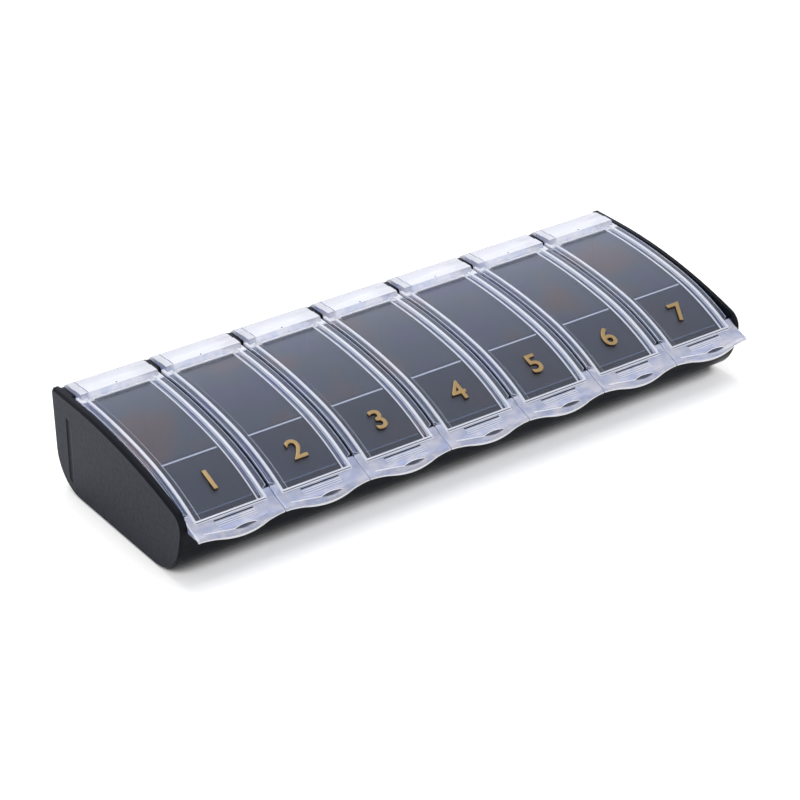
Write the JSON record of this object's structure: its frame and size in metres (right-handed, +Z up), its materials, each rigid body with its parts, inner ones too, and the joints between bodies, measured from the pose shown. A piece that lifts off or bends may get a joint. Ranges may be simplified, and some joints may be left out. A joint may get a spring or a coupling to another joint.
{
  "type": "pill organizer",
  "caption": "Weekly pill organizer: a row of compartments in a curved tray, each under its own clear hinged lid with a finger lip.",
  "frame": {"origin": "middle of the whole object's footprint, on the surface that it stands on", "axes": "+X along the row of lids, -Y to the front with the finger lips, +Y to the hinges, +Z up"},
  "size_m": [0.22, 0.0838, 0.0357],
  "materials": {
    "tray": "black moulded plastic, fine satin ends and glossy rims",
    "lid": "clear moulded styrene plastic",
    "numeral": "raised figures, stamped in gold"
  },
  "bodies": {
    "tray": {"tray": "tray"},
    "lid_1": {"lid_1": "lid"},
    "lid_2": {"lid_2": "lid"},
    "lid_3": {"lid_3": "lid"},
    "lid_4": {"lid_4": "lid"},
    "lid_5": {"lid_5": "lid"},
    "lid_6": {"lid_6": "lid"},
    "lid_7": {"lid_7": "lid"}
  },
  "joints": [
    {"name": "lid_1_hinge", "type": "hinge", "parent": "tray", "child": "lid_1", "pos_m": [-0.0924, 0.0372, 0.0316], "axis": [-1, 0, 0], "range_deg": [0, 110]},
    {"name": "lid_2_hinge", "type": "hinge", "parent": "tray", "child": "lid_2", "pos_m": [-0.0616, 0.0372, 0.0316], "axis": [-1, 0, 0], "range_deg": [0, 110]},
    {"name": "lid_3_hinge", "type": "hinge", "parent": "tray", "child": "lid_3", "pos_m": [-0.0308, 0.0372, 0.0316], "axis": [-1, 0, 0], "range_deg": [0, 110]},
    {"name": "lid_4_hinge", "type": "hinge", "parent": "tray", "child": "lid_4", "pos_m": [0, 0.0372, 0.0316], "axis": [-1, 0, 0], "range_deg": [0, 110]},
    {"name": "lid_5_hinge", "type": "hinge", "parent": "tray", "child": "lid_5", "pos_m": [0.0308, 0.0372, 0.0316], "axis": [-1, 0, 0], "range_deg": [0, 110]},
    {"name": "lid_6_hinge", "type": "hinge", "parent": "tray", "child": "lid_6", "pos_m": [0.0616, 0.0372, 0.0316], "axis": [-1, 0, 0], "range_deg": [0, 110]},
    {"name": "lid_7_hinge", "type": "hinge", "parent": "tray", "child": "lid_7", "pos_m": [0.0924, 0.0372, 0.0316], "axis": [-1, 0, 0], "range_deg": [0, 110]}
  ]
}
